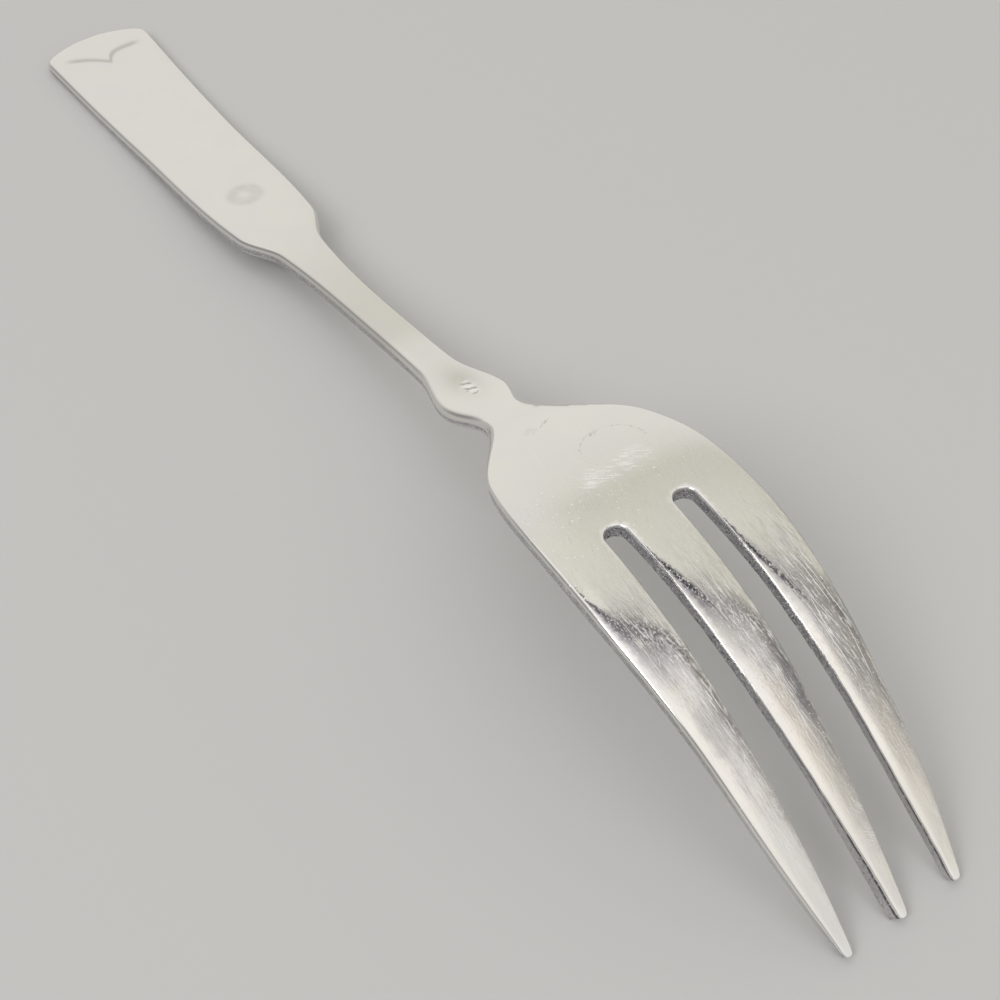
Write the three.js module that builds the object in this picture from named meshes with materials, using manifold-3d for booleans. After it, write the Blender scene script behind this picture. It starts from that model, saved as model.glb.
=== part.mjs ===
// Three-tine dinner fork, stamped and pressed from one blank of stainless steel.
// Millimetres, +Z up. The fork lies on its face: the tips of the tines and the end of the handle rest on
// z = 0, and its back faces up. The handle ends at -X and the tines at +X. The origin is on the resting
// plane, under the middle of the fork's length.
import * as THREE from 'three';
import { mergeVertices } from 'three/addons/utils/BufferGeometryUtils.js';
import Module from 'manifold-3d';

// Lengths along the fork, each from the end of the one before
const GRIP_LENGTH = 36;
const HANDLE_TAPER_LENGTH = 31.2;
const SHOULDER_LENGTH = 7.9;
const STEM_TAPER_LENGTH = 24.9;
const STEM_LENGTH = 11;
const COLLAR_LENGTH = 9.3;
const NECK_LENGTH = 6;
const HEEL_LENGTH = 13.5;
const ROOT_LENGTH = 19;
const TINE_REACH = 40.7;

// Places on the head, each measured back from the tips
const SLOT_LENGTH = 45.5;
const CREST_SETBACK = 47.8;
const BEND_SETBACK = 27.5;
const WAIST_SETBACK = 21.5;
const KNEE_SETBACK = 13.5;
const POINT_SETBACK = 4.5;

// Widths across the fork
const HANDLE_END_WIDTH = 18.5;
const GRIP_WIDTH = 15.6;
const SHOULDER_WIDTH = 13;
const STEM_TOP_WIDTH = 7.2;
const STEM_WIDTH = 5.2;
const STEM_FLARE_WIDTH = 5.5;
const COLLAR_WIDTH = 9.5;
const NECK_WIDTH = 6.6;
const HEEL_WIDTH = 21.7;
const ROOT_WIDTH = 25.8;
const WAIST_SPREAD = 22.9;
const POINT_SPREAD = 18.4;
const TIP_SPREAD = 15.1;

// The end of the handle: a shallow arc with round corners
const END_BOW = 1.1;
const END_CORNER_RADIUS = 3.6;

// The slots and the three tines
const SLOT_WIDTH = 2.9;
const MIDDLE_TINE_WIDTH = 6.5;
const MIDDLE_WAIST_WIDTH = 5.1;
const MIDDLE_POINT_WIDTH = 2.1;
const OUTER_WAIST_WIDTH = 5.1;
const OUTER_POINT_WIDTH = 2.5;
const TIP_WIDTH = 1.1;

// Thickness of the metal
const HANDLE_THICKNESS = 2;
const STEM_THICKNESS = 2.4;
const ROOT_THICKNESS = 2.1;
const TIP_THICKNESS = 1.3;

// How high the back stands above the resting plane, and how steeply it comes down to the tips
const REST_LENGTH = 13;
const SHOULDER_HEIGHT = 5.35;
const STEM_HEIGHT = 9.3;
const COLLAR_HEIGHT = 12.95;
const HEEL_HEIGHT = 20.6;
const CREST_HEIGHT = 22.9;
const BEND_HEIGHT = 19;
const KNEE_HEIGHT = 11.2;
const TIP_STEEPNESS = 0.88;

// Softness of the stamped edges, and how much lower the back is at its edges than along its middle
const HANDLE_EDGE_RADIUS = 0.7;
const ROOT_EDGE_RADIUS = 0.35;
const ROOT_CROWN = 0.35;

// How finely the surfaces are divided, and how far a cut reaches past the metal
const STEP = 2;
const CORNER_STEPS = 6;
const EDGE_STEPS = 3;
const BACK_STEPS = 4;
const CUT_MARGIN = 1.5;

// Distances from the end of the handle
const gripAt = GRIP_LENGTH;
const shoulderAt = gripAt + HANDLE_TAPER_LENGTH;
const stemTopAt = shoulderAt + SHOULDER_LENGTH;
const stemAt = stemTopAt + STEM_TAPER_LENGTH;
const flareAt = stemAt + STEM_LENGTH;
const collarAt = flareAt + COLLAR_LENGTH;
const neckAt = collarAt + NECK_LENGTH;
const heelAt = neckAt + HEEL_LENGTH;
const rootAt = heelAt + ROOT_LENGTH;
const tipAt = rootAt + TINE_REACH;
const slotAt = tipAt - SLOT_LENGTH;
const crestAt = tipAt - CREST_SETBACK;
const bendAt = tipAt - BEND_SETBACK;
const waistAt = tipAt - WAIST_SETBACK;
const kneeAt = tipAt - KNEE_SETBACK;
const pointAt = tipAt - POINT_SETBACK;

// A smooth run of values through keys of [place, value], level at each crest and hollow. It gives the
// value and its rate of change, and goes on straight past its last key.
function smoothRun(keys, lastSlope) {
  const span = [];
  const secant = [];
  for (let i = 0; i + 1 < keys.length; i += 1) {
    span.push(keys[i + 1][0] - keys[i][0]);
    secant.push((keys[i + 1][1] - keys[i][1]) / span[i]);
  }
  const last = secant.length;
  const slope = [secant[0]];
  for (let i = 1; i < last; i += 1) {
    const before = secant[i - 1];
    const after = secant[i];
    const mean = (span[i - 1] * after + span[i] * before) / (span[i - 1] + span[i]);
    const limit = before * after > 0 ? 3 * Math.min(Math.abs(before), Math.abs(after)) : 0;
    slope.push(THREE.MathUtils.clamp(mean, -limit, limit));
  }
  slope.push(lastSlope ?? secant[last - 1]);
  return (at) => {
    const past = at - keys[last][0];
    if (past >= 0) return [keys[last][1] + past * slope[last], slope[last]];
    let i = 0;
    while (at > keys[i + 1][0]) i += 1;
    const u = (at - keys[i][0]) / span[i];
    const rise = keys[i + 1][1] - keys[i][1];
    const bendIn = slope[i] * span[i] - rise;
    const bendOut = rise - slope[i + 1] * span[i];
    const bend = bendIn * (1 - u) + bendOut * u;
    const value = keys[i][1] + u * rise + u * (1 - u) * bend;
    const rate = (rise + (1 - 2 * u) * bend + u * (1 - u) * (bendOut - bendIn)) / span[i];
    return [value, rate];
  };
}

// Half the width of the blank before its slots are cut
const halfWidth = smoothRun([
  [0, HANDLE_END_WIDTH / 2],
  [gripAt, GRIP_WIDTH / 2],
  [shoulderAt, SHOULDER_WIDTH / 2],
  [stemTopAt, STEM_TOP_WIDTH / 2],
  [stemAt, STEM_WIDTH / 2],
  [flareAt, STEM_FLARE_WIDTH / 2],
  [collarAt, COLLAR_WIDTH / 2],
  [neckAt, NECK_WIDTH / 2],
  [heelAt, HEEL_WIDTH / 2],
  [rootAt, ROOT_WIDTH / 2],
  [waistAt, WAIST_SPREAD / 2],
  [pointAt, POINT_SPREAD / 2],
  [tipAt, (TIP_SPREAD + TIP_WIDTH) / 2],
]);

const thickness = smoothRun([
  [0, HANDLE_THICKNESS],
  [REST_LENGTH, HANDLE_THICKNESS],
  [stemAt, STEM_THICKNESS],
  [rootAt, ROOT_THICKNESS],
  [tipAt, TIP_THICKNESS],
]);

const edgeRadius = smoothRun([
  [0, HANDLE_EDGE_RADIUS],
  [collarAt, HANDLE_EDGE_RADIUS],
  [heelAt, ROOT_EDGE_RADIUS],
  [tipAt, ROOT_EDGE_RADIUS],
]);

const crown = smoothRun([
  [0, 0],
  [neckAt, 0],
  [rootAt, ROOT_CROWN],
  [tipAt, ROOT_CROWN],
]);

// Height of the back along the middle. The tips end where their lower corners meet the resting plane.
const tipHeight = TIP_THICKNESS / Math.hypot(1, TIP_STEEPNESS);
const back = smoothRun(
  [
    [0, HANDLE_THICKNESS],
    [REST_LENGTH, HANDLE_THICKNESS],
    [shoulderAt, SHOULDER_HEIGHT],
    [stemAt, STEM_HEIGHT],
    [collarAt, COLLAR_HEIGHT],
    [heelAt, HEEL_HEIGHT],
    [crestAt, CREST_HEIGHT],
    [bendAt, BEND_HEIGHT],
    [kneeAt, KNEE_HEIGHT],
    [tipAt, tipHeight],
  ],
  -TIP_STEEPNESS,
);

// Where a point of the flat blank goes when the blank is pressed: at is its distance from the end of
// the handle, across its distance from the middle and depth its distance below the back.
function press(at, across, depth) {
  const [height, rate] = back(at);
  const length = Math.hypot(1, rate);
  const x = at - tipAt / 2 + (depth * rate) / length;
  return new THREE.Vector3(x, across, height - depth / length);
}

// A closed body through rings of points, each ring a loop with as many points as the next
function bodyThrough(rings) {
  const size = rings[0].length;
  const index = [];
  const corner = (ring, point) => ring * size + (point % size);
  for (let ring = 0; ring + 1 < rings.length; ring += 1) {
    for (let point = 0; point < size; point += 1) {
      const a = corner(ring, point);
      const b = corner(ring, point + 1);
      const c = corner(ring + 1, point + 1);
      const d = corner(ring + 1, point);
      index.push(a, c, b, a, d, c);
    }
  }
  const last = rings.length - 1;
  for (let point = 0; 2 * point + 2 < size; point += 1) {
    const far = size - 1 - point;
    index.push(corner(0, point), corner(0, far - 1), corner(0, far));
    index.push(corner(last, point), corner(last, far), corner(last, far - 1));
    if (far - 1 > point + 1) {
      index.push(corner(0, point), corner(0, point + 1), corner(0, far - 1));
      index.push(corner(last, point), corner(last, far - 1), corner(last, point + 1));
    }
  }
  const geometry = new THREE.BufferGeometry().setFromPoints(rings.flat());
  geometry.setIndex(index);
  return geometry;
}

// One cross-section of the blank as a loop: along the back, round one edge, along the face, round the other
function blankRing(at, half, bow) {
  const thick = thickness(at)[0];
  const radius = edgeRadius(at)[0];
  const drop = crown(at)[0];
  const flat = half - radius;
  const section = [];
  for (let i = 0; i <= BACK_STEPS; i += 1) {
    const share = i / BACK_STEPS;
    section.push([flat * share, drop * share * share]);
  }
  for (let i = 1; i <= EDGE_STEPS; i += 1) {
    const turn = (i / EDGE_STEPS) * (Math.PI / 2);
    section.push([flat + radius * Math.sin(turn), drop + radius * (1 - Math.cos(turn))]);
  }
  section.push([half, thick - radius / 2]);
  section.push([half - radius / 2, thick]);
  const mirrored = section.slice(1).reverse();
  const loop = [...mirrored.map(([across, depth]) => [-across, depth]), ...section];
  return loop.map(([across, depth]) => press(at - bow * (1 - (across / half) ** 2), across, depth));
}

function blank() {
  const rings = [];
  const straightAt = END_BOW + END_CORNER_RADIUS;
  for (let i = 0; i <= CORNER_STEPS; i += 1) {
    const turn = (i / CORNER_STEPS) * (Math.PI / 2);
    const at = straightAt - END_CORNER_RADIUS * Math.cos(turn);
    const inset = END_CORNER_RADIUS * (1 - Math.sin(turn));
    rings.push(blankRing(at, halfWidth(at)[0] - inset, END_BOW));
  }
  const steps = Math.ceil((tipAt - straightAt) / STEP);
  for (let i = 1; i <= steps; i += 1) {
    const share = i / steps;
    const at = straightAt + (tipAt - straightAt) * share;
    rings.push(blankRing(at, halfWidth(at)[0], END_BOW * (1 - share)));
  }
  return bodyThrough(rings);
}

// The two edges of the slot on the +Y side
const slotInner = smoothRun([
  [slotAt, MIDDLE_TINE_WIDTH / 2],
  [waistAt, MIDDLE_WAIST_WIDTH / 2],
  [pointAt, MIDDLE_POINT_WIDTH / 2],
  [tipAt, TIP_WIDTH / 2],
]);
const slotOuter = smoothRun([
  [slotAt, MIDDLE_TINE_WIDTH / 2 + SLOT_WIDTH],
  [waistAt, WAIST_SPREAD / 2 - OUTER_WAIST_WIDTH],
  [pointAt, POINT_SPREAD / 2 - OUTER_POINT_WIDTH],
  [tipAt, (TIP_SPREAD - TIP_WIDTH) / 2],
]);

// The metal that is stamped out between two tines, as a body that stands clear of both faces
function slotCut(side) {
  const rings = [];
  const ring = (at, inner, outer) => {
    const deep = thickness(at)[0] + CUT_MARGIN;
    const loop = [
      [side > 0 ? inner : -outer, deep],
      [side > 0 ? inner : -outer, -CUT_MARGIN],
      [side > 0 ? outer : -inner, -CUT_MARGIN],
      [side > 0 ? outer : -inner, deep],
    ];
    rings.push(loop.map(([across, depth]) => press(at, across, depth)));
  };
  const radius = SLOT_WIDTH / 2;
  for (let i = 1; i <= CORNER_STEPS; i += 1) {
    const turn = (i / CORNER_STEPS) * (Math.PI / 2);
    const at = slotAt + radius * (1 - Math.cos(turn));
    const inset = radius * (1 - Math.sin(turn));
    ring(at, slotInner(at)[0] + inset, slotOuter(at)[0] - inset);
  }
  const startAt = slotAt + radius;
  const endAt = tipAt + CUT_MARGIN;
  const steps = Math.ceil((endAt - startAt) / STEP);
  for (let i = 1; i <= steps; i += 1) {
    const at = startAt + ((endAt - startAt) * i) / steps;
    ring(at, slotInner(at)[0], slotOuter(at)[0]);
  }
  return bodyThrough(rings);
}

const wasm = await Module();
wasm.setup();

function toSolid(geometry) {
  const merged = mergeVertices(geometry);
  const vertProperties = new Float32Array(merged.attributes.position.array);
  const triVerts = new Uint32Array(merged.index.array);
  return new wasm.Manifold(new wasm.Mesh({ numProp: 3, vertProperties, triVerts }));
}

function toGeometry(solid) {
  const { vertProperties, triVerts } = solid.getMesh();
  const geometry = new THREE.BufferGeometry();
  geometry.setAttribute('position', new THREE.BufferAttribute(new Float32Array(vertProperties), 3));
  geometry.setIndex(new THREE.BufferAttribute(new Uint32Array(triVerts), 1));
  geometry.computeVertexNormals();
  return geometry;
}

const steel = new THREE.MeshStandardMaterial({ color: 0xd3d0c6, roughness: 0.3, metalness: 1 });

const fork = new THREE.Mesh(
  toGeometry(toSolid(blank()).subtract(toSolid(slotCut(1))).subtract(toSolid(slotCut(-1)))),
  steel,
);
fork.name = 'fork';

const part = new THREE.Group();
part.add(fork);

export default part;
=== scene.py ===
"""Looks of the dinner fork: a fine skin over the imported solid, worn satin steel, and a plain studio."""
import math

import bpy
import numpy as np
from mathutils import Matrix, Vector, noise
from mathutils.geometry import delaunay_2d_cdt
from mathutils.kdtree import KDTree


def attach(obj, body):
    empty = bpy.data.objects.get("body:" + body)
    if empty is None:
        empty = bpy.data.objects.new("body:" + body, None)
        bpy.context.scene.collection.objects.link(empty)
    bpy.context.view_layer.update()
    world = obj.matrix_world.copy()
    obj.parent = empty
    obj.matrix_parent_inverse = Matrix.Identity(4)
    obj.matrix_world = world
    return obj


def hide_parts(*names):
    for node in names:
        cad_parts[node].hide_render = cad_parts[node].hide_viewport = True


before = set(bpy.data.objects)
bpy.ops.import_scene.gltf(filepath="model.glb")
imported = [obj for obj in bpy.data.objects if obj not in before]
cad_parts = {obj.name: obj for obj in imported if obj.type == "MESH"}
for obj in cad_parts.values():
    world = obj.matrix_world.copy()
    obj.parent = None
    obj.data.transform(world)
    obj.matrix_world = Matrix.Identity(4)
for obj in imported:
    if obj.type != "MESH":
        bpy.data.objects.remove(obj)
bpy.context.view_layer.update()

MM = 0.001

# Distances from the end of the handle, in millimetres
GRIP_AT = 36
SHOULDER_AT = 67.2
STEM_TOP_AT = 75.1
STEM_AT = 100
FLARE_AT = 111
COLLAR_AT = 120.3
NECK_AT = 126.3
HEEL_AT = 139.8
CREST_AT = 151.7
SLOT_AT = 154
ROOT_AT = 158.8
BEND_AT = 172
WAIST_AT = 178
KNEE_AT = 186
POINT_AT = 195
TIP_AT = 199.5

# Widths across the fork
END_WIDTH = 18.5
GRIP_WIDTH = 15.6
SHOULDER_WIDTH = 13
STEM_TOP_WIDTH = 7.2
STEM_WIDTH = 5.2
FLARE_WIDTH = 5.5
COLLAR_WIDTH = 9.5
NECK_WIDTH = 6.6
HEEL_WIDTH = 21.7
ROOT_WIDTH = 25.8
WAIST_SPREAD = 22.9
POINT_SPREAD = 18.4
TIP_SPREAD = 15.1
END_BOW = 1.1
END_CORNER = 3.6

# The slots and the three tines
SLOT_WIDTH = 2.9
MIDDLE_TINE_WIDTH = 6.5
TINE_WAIST_WIDTH = 5.1
MIDDLE_POINT_WIDTH = 2.1
OUTER_POINT_WIDTH = 2.5
TIP_WIDTH = 1.1
TIP_ROUND = 0.7

# Thickness of the metal and heights of its back above the floor
HANDLE_THICK = 2
STEM_THICK = 2.4
ROOT_THICK = 2.1
TIP_THICK = 1.3
REST_LENGTH = 13
SHOULDER_HEIGHT = 5.35
STEM_HEIGHT = 9.3
COLLAR_HEIGHT = 12.95
HEEL_HEIGHT = 20.6
CREST_HEIGHT = 22.9
BEND_HEIGHT = 19
KNEE_HEIGHT = 11.2
TIP_STEEPNESS = 0.88

# Rounding of the edges, and how steeply the back rolls off at the edges of the bowl and of a tine
HANDLE_EDGE = 0.75
COLLAR_EDGE = 0.95
HEAD_EDGE = 0.4
SLOT_EDGE = 0.16
BOWL_ROLL = 0.1
TINE_ROLL = 0.1

# The winged crease pressed into the back near the end of the handle, with its right wing the flatter one
CREASE_APEX = 10
LEFT_FOOT = 4.4
LEFT_REACH = 4.2
RIGHT_FOOT = 6.8
RIGHT_REACH = 0.9
CREASE_DEPTH = 0.09
CREASE_WIDTH = 0.6
CREASE_SPAN = 7.2
END_FALL = 0.025

# Hand polishing, and a blank dent in the collar with ridges, and stripes of painted highlight and shade
POLISH_WAVE = 0.008
DENT_AT = 118.5
DENT_ACROSS = 0.4
DENT_LENGTH = 2
DENT_WIDTH = 1.1
DENT_DEPTH = 0.14
DENT_RIDGE = 0.05
RIDGE_SPACING = 1.4
RIDGE_SLANT = 0.5
DENT_STRIPE_SPACING = 1.2522
DENT_STRIPE_LEAN = -26.6

# Uneven filing of the slots: ragged edges, and walls that lean out near two of the tips
SLOT_RAGGED = 0.06
MIDDLE_LEAN = 0.75
OUTER_LEAN = 0.25
LEAN_START = 184
# On the outer walls this share of the cut walls' dark grey is partly painted shade and reflection; it also
# sets their roughness and grain
OUTER_RAWNESS_AND_SHADE = 0.7

# Sets of scratches: direction in degrees, reach of their middles, spacing, width, shortest and longest
LIGHT_SCRATCHES = [
    (3, 20, 0.5, 0.06, (4, 14)),
    (-6, 20, 0.7, 0.05, (3, 10)),
    (11, 20, 0.6, 0.045, (2, 6)),
    (-24, 20, 0.9, 0.045, (1, 3)),
]
DARK_SCRATCHES = [(5, 20, 0.45, 0.05, (3, 9)), (-3, 20, 0.6, 0.05, (2, 8))]
BOWL_SCRATCHES = [(-14, 14, 0.6, 0.05, (2, 7))]
SCUFF_SCRATCHES = [(52, 6, 0.3, 0.06, (1.5, 4)), (58, 6, 0.35, 0.06, (1.5, 4))]
HATCHING = (0.4, 0.35, 0.06, (0.9, 1.8))
LIGHT_MIDDLE = (178, 0)
DARK_MIDDLE = (180, 0)
BOWL_MIDDLE = (148, 0)
SCUFF_MIDDLE = (147, 1.5)

# How far a patch's edge is ragged, as a share of its reach
RAGGEDNESS = 1.2

# Scuffed ovals on the bowl by middle and reach, and hatched ones on the middle tine by middle and direction
SCUFF_OVALS = [((147, 3.7), (2.1, 3.6)), ((147.2, -0.8), (2, 3.8))]
HATCHED_PLACES = [((189.8, 0.8), 30), ((192.5, 0.7), 58)]
HATCHED_REACH = (1.8, 0.9)

# Stains: ovals by middle and reach, rings by middle, radius and width as a share of the radius
STREAK_OVAL = ((134, 0.9), (1.5, 0.35))
STREAK_LEAN = -58
FAINT_OVAL = ((134.2, -1.2), (1.2, 1.2))
BLOT_OVAL = ((140.3, 3.2), (0.5, 0.9))
DROP_RING = ((144, 3.7), 4, 0.07)
HANDLE_RING = ((57.7, -0.1), 1.8, 0.95)

# The speckled band and line on each tine, with their shifts on the left and right tines
BAND_LEFT_AT = 165.2
BAND_RIGHT_AT = 172
LEFT_BAND_SHIFT = 2.6
LINE_START = 160
LINE_END = 168
RIGHT_LINE_SHIFT = 4

# Colours of the metal and of the marks on it
CREAM_STEEL = (0.79, 0.778, 0.738)
PLAIN_STEEL = (0.778, 0.763, 0.744)
BRUSHED_STEEL = (0.71, 0.697, 0.667)
STREAKED_STEEL = (0.43, 0.42, 0.42)
# Painted cool highlight at the tips
TIP_HIGHLIGHT = (0.86, 0.885, 0.89)
YELLOW_STEEL = (0.8, 0.77, 0.685)
MOTTLED_STEEL = (0.5, 0.49, 0.495)
# Painted highlight along the left edges of the tines
LEFT_EDGE_HIGHLIGHT = (0.99, 0.975, 0.935)
# Paler bare steel in light marks and scratches, which in the dent are painted highlights
BARE_STEEL_AND_HIGHLIGHT = (0.98, 0.97, 0.965)
STAINED_STEEL = (0.36, 0.34, 0.3)
DARK_SPECKS = (0.27, 0.27, 0.28)
BLACK_SPECKS = (0.12, 0.12, 0.135)
# Painted shade in the crease
CREASE_SHADE = (0.34, 0.33, 0.32)
STEM_GRIME = (0.36, 0.33, 0.245)
# Painted shade between the painted highlights in the dent
DENT_SHADE = (0.36, 0.345, 0.31)
# Painted highlight on the rims at the ends of the slots
SLOT_END_HIGHLIGHT_COLOUR = (0.97, 0.965, 0.96)

# Colours of the cut walls
DARK_WALL = (0.29, 0.282, 0.295)
LIGHT_WALL = (0.43, 0.42, 0.435)
TIP_WALL = (0.63, 0.61, 0.615)
WALL_HOLES = (0.13, 0.125, 0.14)
WALL_FLECKS = (0.92, 0.91, 0.92)
# Painted shadow line under the burr near the tips
BURR_SHADOW = (0.08, 0.08, 0.09)

# Painted reflection and shade on the tines: middle, reach along and across, lean in degrees, strength,
# colour
DARK_STEEL = (0.3, 0.31, 0.34)
GREY_STEEL = (0.44, 0.43, 0.425)
PALE_STEEL = (0.98, 0.965, 0.95)
WARM_STEEL = (0.83, 0.785, 0.675)
COOL_STEEL = (0.76, 0.785, 0.82)
TINE_REFLECTION_PATCHES = [
    ((164, -11.9), (6.5, 1.4), -3, 0.6, PALE_STEEL),
    ((171.5, -8), (4.5, 2), 3, 0.45, PALE_STEEL),
    ((172, 0.2), (4.5, 1.9), -2, 0.5, PALE_STEEL),
    ((171.5, 8.6), (7, 2.6), -4, 0.5, PALE_STEEL),
    ((182.5, -6.8), (6, 0.9), 2, 0.5, PALE_STEEL),
    ((184, -0.5), (10, 2.2), -1, 0.35, WARM_STEEL),
    ((188.5, 8.1), (8, 2), -4, 0.35, WARM_STEEL),
    ((195, -8), (12, 3), 3, 0.4, COOL_STEEL),
    ((177.5, -8.7), (4.6, 2), 3, 0.55, GREY_STEEL),
    ((184.5, 0.9), (12, 1.2), -4, 0.32, GREY_STEEL),
    ((176.5, 1.9), (7, 1), -4, 0.55, DARK_STEEL),
    ((174.5, 11.2), (5, 0.9), -6, 0.5, DARK_STEEL),
]

# How finely the skin is divided
EDGE_STEP = 0.4
FACE_STEP = 0.6
FINE_STEP = 0.17
BEVEL_STEPS = 6
WALL_STEPS = 4
GRID = 0.05

# Camera, in millimetres, and its turn about its own axis in degrees
CAMERA_PLACE = (141.11, -74.62, 154.17)
CAMERA_AIM = (27.49, -1.24, 0)
CAMERA_ROLL = -2.01
CAMERA_LENS = 57.6
SENSOR_WIDTH = 36

# Floor, lamp and room. Their lengths are in metres
FLOOR_HALF_SIZE = 40
FLOOR_COLOUR = (0.56, 0.56, 0.555)
FLOOR_ROUGHNESS = 0.8
LAMP_PLACE = (0.35, -1.2, 1.3)
LAMP_SIZE = 0.8
LAMP_ENERGY = 9
ROOM_STRENGTH = 1.15
GAP_FACING = (-0.584, 0.734, -0.347)
FAR_WALL = (0.762, 0.741, 0.711)
WHITE = (1, 1, 1)


def smooth_share(value, low, high):
    """0 below low, 1 above high and a smooth rise between."""
    share = np.clip((value - low) / (high - low), 0, 1)
    return share * share * (3 - 2 * share)


class Run:
    """A smooth run of values through (place, value) keys, level at crests and hollows, a little softened."""

    def __init__(self, keys, soft, last_slope=None):
        place, value = np.array(keys, dtype=float).T
        span = np.diff(place)
        secant = np.diff(value) / span
        before, after = secant[:-1], secant[1:]
        mean = (span[:-1] * after + span[1:] * before) / (span[:-1] + span[1:])
        limit = np.where(before * after > 0, 3 * np.minimum(abs(before), abs(after)), 0)
        last = secant[-1] if last_slope is None else last_slope
        slope = np.concatenate(([secant[0]], np.clip(mean, -limit, limit), [last]))
        self.places = np.arange(-10, TIP_AT + 10, GRID)
        i = np.clip(np.searchsorted(place, self.places) - 1, 0, len(span) - 1)
        u = np.clip((self.places - place[i]) / span[i], 0, 1)
        rise = value[i + 1] - value[i]
        bend = (slope[i] * span[i] - rise) * (1 - u) + (rise - slope[i + 1] * span[i]) * u
        self.values = value[i] + u * rise + u * (1 - u) * bend
        self.values += np.minimum(self.places - place[0], 0) * slope[0]
        self.values += np.maximum(self.places - place[-1], 0) * slope[-1]
        window = np.hanning(2 * round(soft / GRID) + 3)
        wide = np.pad(self.values, len(window) // 2, mode="reflect", reflect_type="odd")
        self.values = np.convolve(wide, window / window.sum(), mode="valid")
        self.rates = np.gradient(self.values, GRID)

    def __call__(self, at):
        return np.interp(at, self.places, self.values)

    def rate(self, at):
        return np.interp(at, self.places, self.rates)


half_width = Run(
    [
        (0, END_WIDTH / 2),
        (GRIP_AT, GRIP_WIDTH / 2),
        (SHOULDER_AT, SHOULDER_WIDTH / 2),
        (STEM_TOP_AT, STEM_TOP_WIDTH / 2),
        (STEM_AT, STEM_WIDTH / 2),
        (FLARE_AT, FLARE_WIDTH / 2),
        (COLLAR_AT, COLLAR_WIDTH / 2),
        (NECK_AT, NECK_WIDTH / 2),
        (HEEL_AT, HEEL_WIDTH / 2),
        (ROOT_AT, ROOT_WIDTH / 2),
        (WAIST_AT, WAIST_SPREAD / 2),
        (POINT_AT, POINT_SPREAD / 2),
        (TIP_AT, (TIP_SPREAD + TIP_WIDTH) / 2),
    ],
    soft=0.9,
)
thickness = Run(
    [
        (0, HANDLE_THICK),
        (REST_LENGTH, HANDLE_THICK),
        (STEM_AT, STEM_THICK),
        (ROOT_AT, ROOT_THICK),
        (TIP_AT, TIP_THICK),
    ],
    soft=4,
)
back = Run(
    [
        (0, HANDLE_THICK),
        (REST_LENGTH, HANDLE_THICK),
        (SHOULDER_AT, SHOULDER_HEIGHT),
        (STEM_AT, STEM_HEIGHT),
        (COLLAR_AT, COLLAR_HEIGHT),
        (HEEL_AT, HEEL_HEIGHT),
        (CREST_AT, CREST_HEIGHT),
        (BEND_AT, BEND_HEIGHT),
        (KNEE_AT, KNEE_HEIGHT),
        (TIP_AT, TIP_THICK / math.hypot(1, TIP_STEEPNESS)),
    ],
    soft=5,
    last_slope=-TIP_STEEPNESS,
)
edge_round = Run(
    [
        (0, HANDLE_EDGE),
        (STEM_AT, HANDLE_EDGE),
        (COLLAR_AT, COLLAR_EDGE),
        (NECK_AT, COLLAR_EDGE),
        (HEEL_AT, HEAD_EDGE),
        (POINT_AT, HEAD_EDGE),
        (TIP_AT, HEAD_EDGE / 2),
    ],
    soft=2,
)
slot_inner = Run(
    [
        (SLOT_AT, MIDDLE_TINE_WIDTH / 2),
        (WAIST_AT, TINE_WAIST_WIDTH / 2),
        (POINT_AT, MIDDLE_POINT_WIDTH / 2),
        (TIP_AT, TIP_WIDTH / 2),
    ],
    soft=1.5,
)
slot_outer = Run(
    [
        (SLOT_AT, MIDDLE_TINE_WIDTH / 2 + SLOT_WIDTH),
        (WAIST_AT, WAIST_SPREAD / 2 - TINE_WAIST_WIDTH),
        (POINT_AT, POINT_SPREAD / 2 - OUTER_POINT_WIDTH),
        (TIP_AT, (TIP_SPREAD - TIP_WIDTH) / 2),
    ],
    soft=1.5,
)


def press(at, across, depth):
    """Where points of the flat blank go when it is pressed, in metres. Depth is measured below the back."""
    rate = back.rate(at)
    length = np.hypot(1, rate)
    x = at - TIP_AT / 2 + depth * rate / length
    z = back(at) - depth / length
    return np.stack([x, across + 0 * at, z], axis=-1) * MM


def crown(at, across):
    """How far the back has fallen at its edges, on the bowl and then on each tine."""
    y = abs(across)
    half = half_width(at)
    inner = slot_inner(at)
    outer = slot_outer(at)
    in_middle = y < (inner + outer) / 2
    lane_half = np.where(in_middle, inner, (half - outer) / 2)
    lane_share = np.where(in_middle, y, abs(y - (half + outer) / 2)) / lane_half
    tine_drop = TINE_ROLL * lane_half / 4 * np.minimum(lane_share, 1) ** 4
    bowl_drop = BOWL_ROLL * half / 4 * np.minimum(y / half, 1) ** 4
    tined = smooth_share(at, SLOT_AT - 4, SLOT_AT + 8)
    return smooth_share(at, NECK_AT, HEEL_AT) * (bowl_drop * (1 - tined) + tine_drop * tined)


def crease_line(across):
    """Distance of the crease from the end of the handle. Each wing runs from the apex towards its foot."""
    y = np.sqrt(across**2 + 0.1)
    right = smooth_share(across, -0.4, 0.4)
    foot = LEFT_FOOT + (RIGHT_FOOT - LEFT_FOOT) * right
    reach = LEFT_REACH + (RIGHT_REACH - LEFT_REACH) * right
    return foot + (CREASE_APEX - foot) * np.exp(-y / reach)


def crease_groove(at, across):
    """1 along the bottom of the crease, fading to 0 beside it and at the ends of its wings."""
    fade = 1 - smooth_share(abs(across), CREASE_SPAN - 2.5, CREASE_SPAN)
    return fade * np.exp(-(((crease_line(across) - at) / CREASE_WIDTH) ** 2))


def crease(at, across):
    """Depth of the winged crease, and of the end of the handle that falls away past it."""
    past = np.maximum(crease_line(across) - at, 0)
    return CREASE_DEPTH * crease_groove(at, across) + END_FALL * past**2 / (past + 1)


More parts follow.
